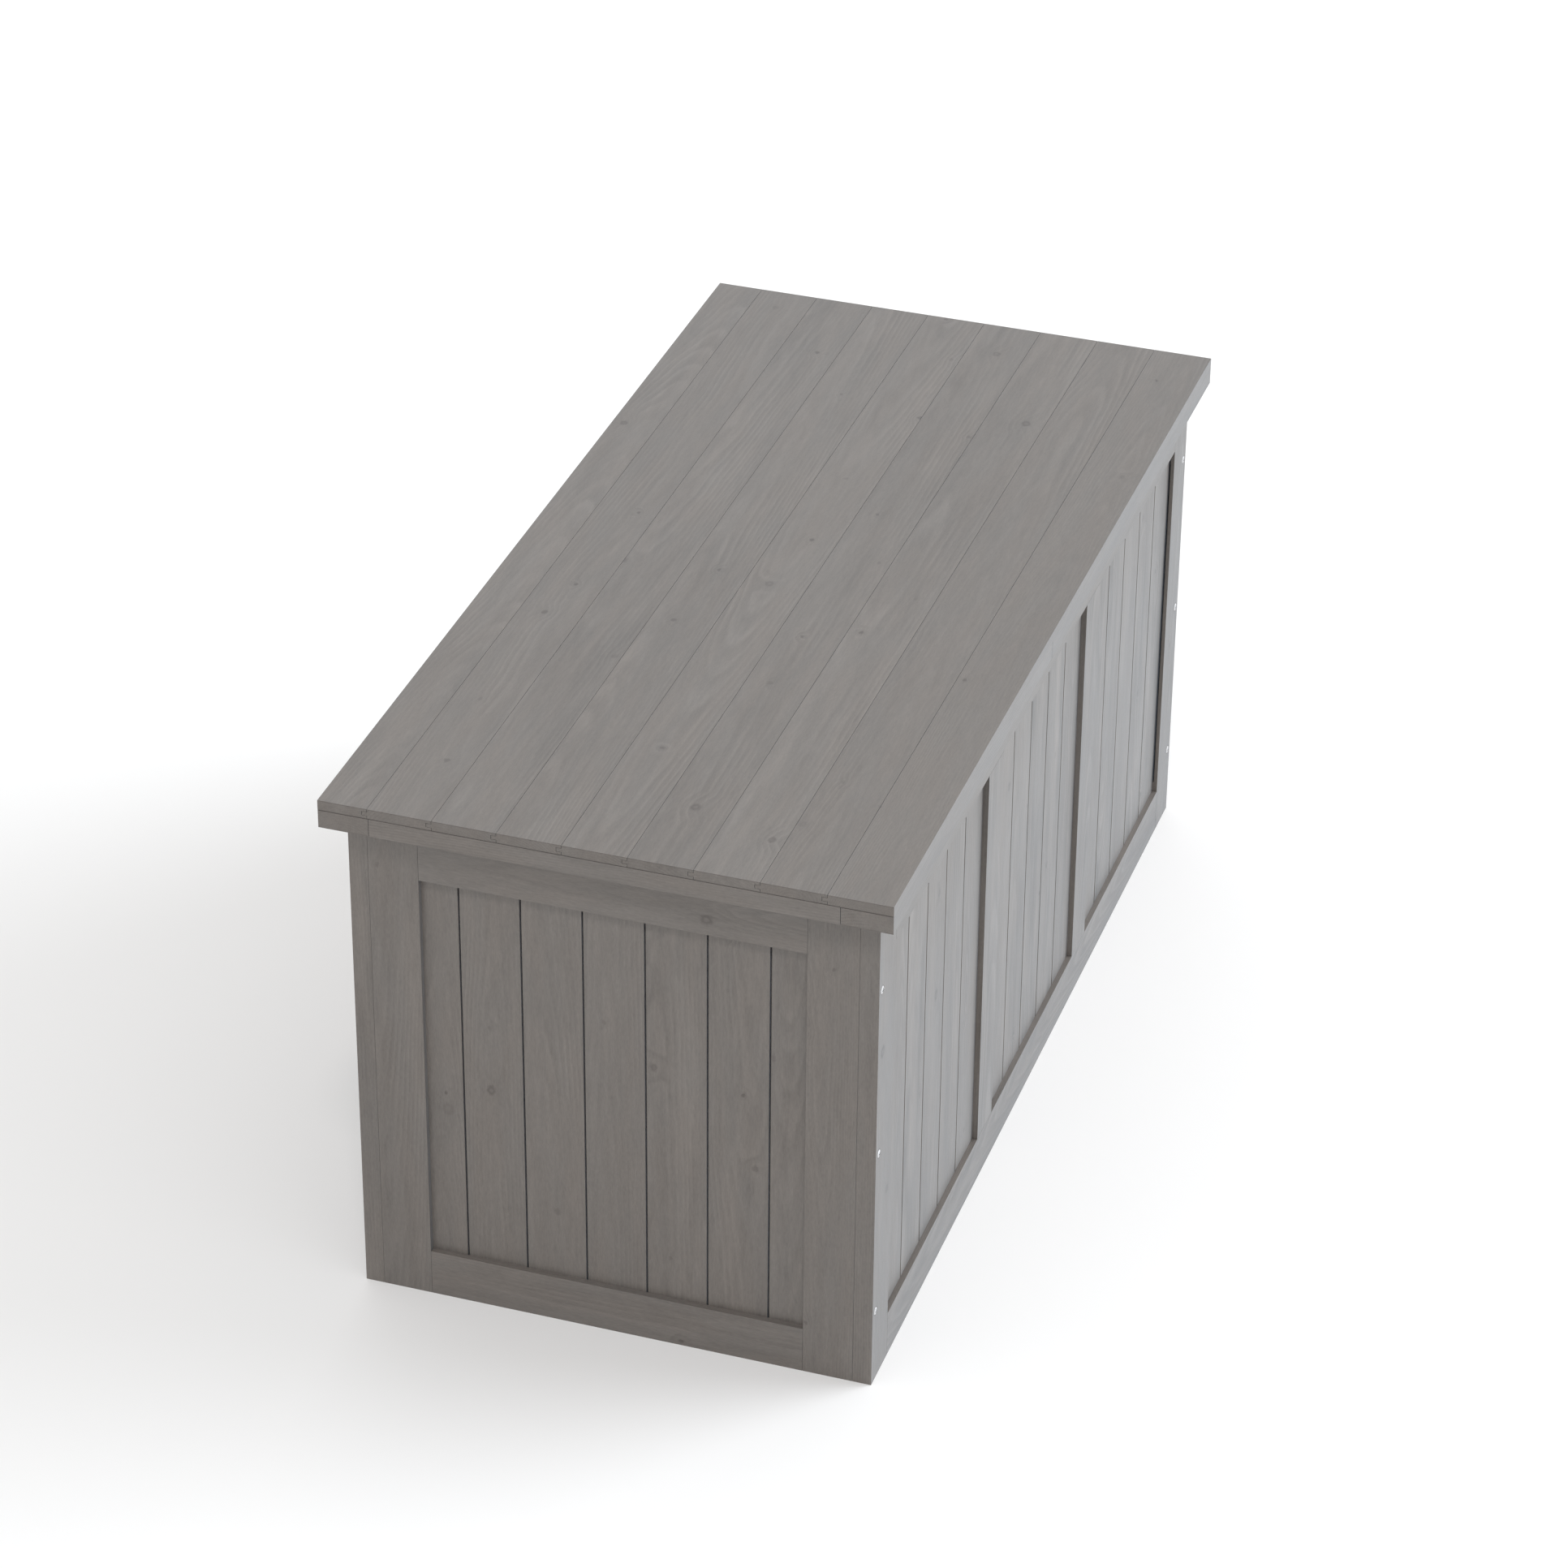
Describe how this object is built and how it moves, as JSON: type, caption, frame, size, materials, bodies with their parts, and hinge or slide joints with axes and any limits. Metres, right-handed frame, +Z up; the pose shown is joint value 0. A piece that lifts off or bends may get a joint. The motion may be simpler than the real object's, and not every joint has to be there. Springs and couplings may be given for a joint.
{
  "type": "wooden toy box",
  "caption": "Long boarded wooden toy box with framed walls, a flat overhanging lid hinged at the back and held open by lid struts.",
  "frame": {"origin": "on the floor, under the middle of the closed box's outline", "axes": "+X along the length, the front wall faces -Y and the hinges are at +Y, +Z up"},
  "size_m": [1.215, 0.591, 0.593],
  "materials": {
    "stained_wood": "grey-stained softwood frame stock, matt",
    "stained_boards": "grey-stained softwood boards, matt",
    "dowel_wood": "bare beech",
    "zinc_screws": "bright zinc plate",
    "zinc_hinges": "satin zinc plate",
    "bracket_steel": "black powder coat",
    "strut_tube_paint": "black semi-gloss paint",
    "strut_rod_chrome": "polished rod"
  },
  "bodies": {
    "box": {"front_left_stile": "stained_wood", "front_right_stile": "stained_wood", "front_inner_left_stile": "stained_wood", "front_inner_right_stile": "stained_wood", "front_top_rail": "stained_wood", "front_bottom_rail": "stained_wood", "front_left_boards": "stained_boards", "front_middle_boards": "stained_boards", "front_right_boards": "stained_boards", "back_left_stile": "stained_wood", "back_right_stile": "stained_wood", "back_inner_left_stile": "stained_wood", "back_inner_right_stile": "stained_wood", "back_top_rail": "stained_wood", "back_bottom_rail": "stained_wood", "back_left_boards": "stained_boards", "back_middle_boards": "stained_boards", "back_right_boards": "stained_boards", "left_end_front_stile": "stained_wood", "left_end_back_stile": "stained_wood", "left_end_top_rail": "stained_wood", "left_end_bottom_rail": "stained_wood", "left_end_boards": "stained_boards", "right_end_front_stile": "stained_wood", "right_end_back_stile": "stained_wood", "right_end_top_rail": "stained_wood", "right_end_bottom_rail": "stained_wood", "right_end_boards": "stained_boards", "frame_dowels": "dowel_wood", "corner_screws": "zinc_screws", "floor_boards": "stained_boards", "floor_cleats": "stained_wood", "floor_middle_bearer": "stained_wood", "cleat_screws": "zinc_screws", "hinge_wall_leaves": "zinc_hinges", "hinge_pins": "zinc_hinges", "strut_wall_brackets": "bracket_steel", "wall_hardware_screws": "zinc_screws"},
    "lid": {"hinge_lid_leaves": "zinc_hinges", "lid_front_rail": "stained_wood", "lid_back_rail": "stained_wood", "lid_left_rail": "stained_wood", "lid_right_rail": "stained_wood", "lid_cross_battens": "stained_wood", "lid_board_screws": "zinc_screws", "strut_lid_brackets": "bracket_steel", "lid_hardware_screws": "zinc_screws", "lid_board_1": "stained_boards", "lid_board_2": "stained_boards", "lid_board_3": "stained_boards", "lid_board_4": "stained_boards", "lid_board_5": "stained_boards", "lid_board_6": "stained_boards", "lid_board_7": "stained_boards", "lid_board_8": "stained_boards", "lid_board_9": "stained_boards"},
    "left_strut_tube": {"left_strut_tube": "strut_tube_paint"},
    "left_strut_rod": {"left_strut_rod": "strut_rod_chrome"},
    "right_strut_tube": {"right_strut_tube": "strut_tube_paint"},
    "right_strut_rod": {"right_strut_rod": "strut_rod_chrome"}
  },
  "joints": [
    {"name": "lid_hinge", "type": "hinge", "parent": "box", "child": "lid", "pos_m": [0, 0.2773, 0.5582], "axis": [-1, 0, 0], "range_deg": [0, 85]},
    {"name": "left_tube_pivot", "type": "hinge", "parent": "box", "child": "left_strut_tube", "pos_m": [-0.544, 0.22217, 0.36595], "axis": [-1, 0, 0], "range_deg": [0, 42.5]},
    {"name": "left_rod_pivot", "type": "hinge", "parent": "lid", "child": "left_strut_rod", "pos_m": [-0.544, 0.07742, 0.55122], "axis": [-1, 0, 0], "range_deg": [-42.5, 0]},
    {"name": "right_tube_pivot", "type": "hinge", "parent": "box", "child": "right_strut_tube", "pos_m": [0.544, 0.22217, 0.36595], "axis": [-1, 0, 0], "range_deg": [0, 42.5]},
    {"name": "right_rod_pivot", "type": "hinge", "parent": "lid", "child": "right_strut_rod", "pos_m": [0.544, 0.07742, 0.55122], "axis": [-1, 0, 0], "range_deg": [-42.5, 0]}
  ],
  "couplings": [
    {"joint": "left_tube_pivot", "follows": "lid_hinge", "ratio": 0.5},
    {"joint": "left_rod_pivot", "follows": "lid_hinge", "ratio": -0.5},
    {"joint": "right_tube_pivot", "follows": "lid_hinge", "ratio": 0.5},
    {"joint": "right_rod_pivot", "follows": "lid_hinge", "ratio": -0.5}
  ]
}
